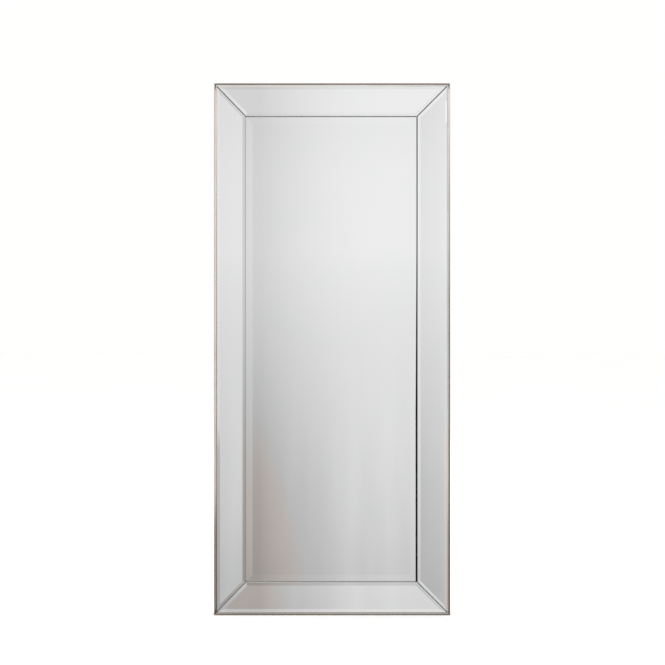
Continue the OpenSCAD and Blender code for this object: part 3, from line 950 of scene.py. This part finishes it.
def front_tone(tree, across, height):
    """The part of the wall that the panes show from the front: light above, and darker low on the
    left."""
    low = between(tree, height, *LOW_BY_HEIGHT)
    level = between(tree, height, *LEVEL_BY_HEIGHT, smooth=False)
    level = calc(tree, "SUBTRACT", level, between(tree, height, *HIGH_SHADE_BY_HEIGHT))
    fade = between(tree, across, *FADE_ACROSS, smooth=False)
    fade = calc(tree, "MULTIPLY", fade, fade)
    kept = between(tree, across, *FADE_KEPT_ACROSS)
    depth = calc(tree, "MULTIPLY", mix_value(tree, low, *FADE_DEPTH), kept)
    peak = mix_value(tree, low, *PEAK_TONE)
    sideways = calc(tree, "SUBTRACT", peak, calc(tree, "MULTIPLY", depth, fade))
    tone = calc(tree, "MULTIPLY", level, sideways)
    folds = calc(tree, "MULTIPLY", cloth_folds(tree, across, height), low)
    return calc(tree, "MULTIPLY", tone, calc(tree, "ADD", 1.0, folds))


def add_left_side(tree, tone, height, turn):
    """The left side is pale, and dark at its far end."""
    pale = between(tree, height, *PALE_BY_HEIGHT)
    tone = mix_value(tree, angle_between(tree, turn, *PALE_START), tone, pale)
    return mix_value(tree, angle_between(tree, turn, *FAR_LEFT_START), tone, FAR_LEFT_TONE)


def add_right_side(tree, tone, height, turn):
    """The right side darkens downwards, beyond a light strip beside a dark post."""
    ramp = between(tree, height, *RIGHT_BY_HEIGHT, smooth=False)
    shade = calc(tree, "MULTIPLY", calc(tree, "MULTIPLY", ramp, ramp), RIGHT_SPAN)
    shade = calc(tree, "ADD", shade, RIGHT_LEAST)
    light = calc(tree, "MULTIPLY", tone, between(tree, height, *LIGHT_STRIP_BY_HEIGHT))
    tone = mix_value(tree, angle_between(tree, turn, *LIGHT_STRIP_START), tone, light)
    tone = mix_value(tree, angle_window(tree, turn, *POST_EDGES), tone, shade)
    tone = mix_value(tree, angle_between(tree, turn, *RIGHT_START), tone, shade)
    dim = calc(tree, "MAXIMUM", shade, DIM_LEAST)
    return mix_value(tree, angle_window(tree, turn, *DIM_EDGES), tone, dim)


def add_dark_bands(tree, tone, across, height, forward, turn):
    """Dark bands above and below. They are painted at fixed places on the wall, as high up as
    the crown of the moulding shows them in the photograph's view, and they stay there."""
    share = calc(tree, "SUBTRACT", forward, MIRROR_FRONT)
    share = calc(tree, "DIVIDE", share, CAMERA_DISTANCE)
    seen = plus(tree, height, share, CAMERA_UP)
    seen = calc(tree, "DIVIDE", seen, calc(tree, "ADD", share, 1.0))
    left_end = between(tree, across, *BAND_LEFT_ACROSS)
    right_end = angle_between(tree, turn, *BAND_RIGHT_ANGLE)
    ahead = calc(tree, "MULTIPLY", left_end, right_end)
    starts = between(tree, calc(tree, "ABSOLUTE", seen), BAND_START, BAND_FULL)
    fades = between(tree, seen, -BAND_END, -BAND_FADE)
    band = calc(tree, "MULTIPLY", starts, fades)
    dark = between(tree, seen, -BAND_START, BAND_START, *BAND_TONES, smooth=False)
    return mix_value(tree, calc(tree, "MULTIPLY", ahead, band), tone, dark)


def add_lamp(tree, tone, across, height):
    """A small soft lamp, which lights up in one corner of the frame."""
    left, right = LAMP_X - LAMP_HALF_X, LAMP_X + LAMP_HALF_X
    low, high = LAMP_Z - LAMP_HALF_Z, LAMP_Z + LAMP_HALF_Z
    wide = window(tree, across, left, right, LAMP_SOFT_X)
    tall = window(tree, height, low, high, LAMP_SOFT_Z)
    return mix_value(tree, calc(tree, "MULTIPLY", wide, tall), tone, LAMP_TONE)


def wall_tone(tree, across, height, forward, turn):
    """How bright the wall is at a place on it."""
    tone = front_tone(tree, across, height)
    tone = add_left_side(tree, tone, height, turn)
    tone = add_right_side(tree, tone, height, turn)
    sides = angle_window(tree, calc(tree, "ABSOLUTE", turn), *SIDE_EDGES)
    tone = mix_value(tree, sides, tone, SIDE_TONE)
    tone = add_dark_bands(tree, tone, across, height, forward, turn)
    tone = mix_value(tree, between(tree, height, *TOP_BY_HEIGHT), tone, TOP_TONE)
    tone = mix_value(tree, between(tree, height, *BASE_BY_HEIGHT), tone, BASE_TONE)
    return add_lamp(tree, tone, across, height)


def wall_warmth(tree, across, height):
    """Where the wall is warm: low on the left."""
    right = calc(tree, "MAXIMUM", calc(tree, "SUBTRACT", across, WARM_LEFT), 0.0)
    drop = calc(tree, "MULTIPLY", calc(tree, "MULTIPLY", right, right), WARM_DROP)
    warmth = between(tree, calc(tree, "ADD", height, drop), *WARM_BY_HEIGHT)
    return calc(tree, "MULTIPLY", warmth, between(tree, across, *WARM_ACROSS))


def wall_material():
    """The soft grey studio that the mirror reflects."""
    made = bpy.data.materials.new("studio_wall")
    made.use_nodes = True
    tree = made.node_tree
    tree.nodes.clear()
    parts = split(tree, add(tree, "ShaderNodeNewGeometry").outputs["Position"])
    across = parts["X"]
    height = parts["Z"]
    forward = calc(tree, "MULTIPLY", parts["Y"], -1.0)
    turn = calc(tree, "ARCTAN2", across, forward)
    tone = wall_tone(tree, across, height, forward, turn)
    warmth = wall_warmth(tree, across, height)
    grey = add(tree, "ShaderNodeCombineColor", {0: tone, 1: tone, 2: tone}).outputs[0]
    warm = mix_colour(tree, warmth, NEUTRAL, WARM)
    tint = mix_colour(tree, 1.0, grey, warm, "MULTIPLY")
    glow = add(tree, "ShaderNodeEmission", {"Color": tint, "Strength": 1.0})
    output = add(tree, "ShaderNodeOutputMaterial")
    tree.links.new(glow.outputs[0], output.inputs["Surface"])
    return made


def make_wall():
    """The curved wall round the front, which only shows in reflections."""
    profile = wall_profile()

    def build(shape):
        rings = []
        for step in range(WALL_STEPS + 1):
            turn = WALL_TURN * (2 * step / WALL_STEPS - 1)
            rings.append([
                shape.verts.new((radius * math.sin(turn), -radius * math.cos(turn), height))
                for radius, height in profile
            ])
        for near, far in zip(rings, rings[1:]):
            for i in range(len(profile) - 1):
                shape.faces.new((near[i], far[i], far[i + 1], near[i + 1]))

    wall = mesh_object("studio_wall", build)
    wall.data.materials.append(wall_material())
    for face in wall.data.polygons:
        face.use_smooth = True
    wall.visible_camera = False
    wall.visible_diffuse = False
    wall.visible_shadow = False
    wall.visible_transmission = False


def make_lamps():
    for name, place, aim, size, power in LAMPS:
        lamp = bpy.data.lights.new(name, "AREA")
        lamp.shape = "SQUARE"
        lamp.size = size
        lamp.energy = power
        made = bpy.data.objects.new(name, lamp)
        made.location = place
        direction = Vector(aim) - Vector(place)
        made.rotation_euler = direction.to_track_quat("-Z", "Y").to_euler()
        made.visible_glossy = False
        made.visible_camera = False
        bpy.context.scene.collection.objects.link(made)


def make_world():
    """White behind the object, and a soft grey studio in what the object reflects."""
    world = bpy.data.worlds.new("studio")
    bpy.context.scene.world = world
    world.use_nodes = True
    tree = world.node_tree
    tree.nodes.clear()
    upward = split(tree, add(tree, "ShaderNodeTexCoord").outputs["Generated"])["Z"]
    above = between(tree, upward, *WORLD_GLOSSY_ABOVE)
    glossy_tone = calc(tree, "MULTIPLY", above, between(tree, upward, *WORLD_GLOSSY_BELOW))
    light_tone = between(tree, upward, *WORLD_LIGHT)
    path = add(tree, "ShaderNodeLightPath").outputs
    strength = mix_value(tree, path["Is Glossy Ray"], light_tone, glossy_tone)
    strength = mix_value(tree, path["Is Camera Ray"], strength, 1.0)
    background = {"Color": WORLD_TINT, "Strength": strength}
    background = add(tree, "ShaderNodeBackground", background)
    output = add(tree, "ShaderNodeOutputWorld")
    tree.links.new(background.outputs[0], output.inputs["Surface"])


def make_camera(front):
    """The photograph's view, from a fixed distance before the front of the object."""
    camera = bpy.data.cameras.new("camera")
    camera.sensor_width = SENSOR_WIDTH
    camera.lens = SENSOR_WIDTH * CAMERA_DISTANCE / VIEW_WIDTH
    camera.shift_x = (CAMERA_LEFT + VIEW_MIDDLE) / VIEW_WIDTH
    camera.clip_start = CAMERA_CLIP_START
    camera.clip_end = CAMERA_CLIP_END
    made = bpy.data.objects.new("camera", camera)
    made.location = (-CAMERA_LEFT, front - CAMERA_DISTANCE, CAMERA_UP)
    made.rotation_euler = (math.radians(90), 0.0, 0.0)
    bpy.context.scene.collection.objects.link(made)
    bpy.context.scene.camera = made


def main():
    dress_panes()
    dress_frame()
    dress_back()
    low = min(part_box(name)[0].z for name in NODES)
    front = min(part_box(name)[0].y for name in NODES)
    make_floor(low)
    make_wall()
    make_lamps()
    make_world()
    make_camera(front)
    bpy.context.scene.view_settings.view_transform = "Standard"


main()
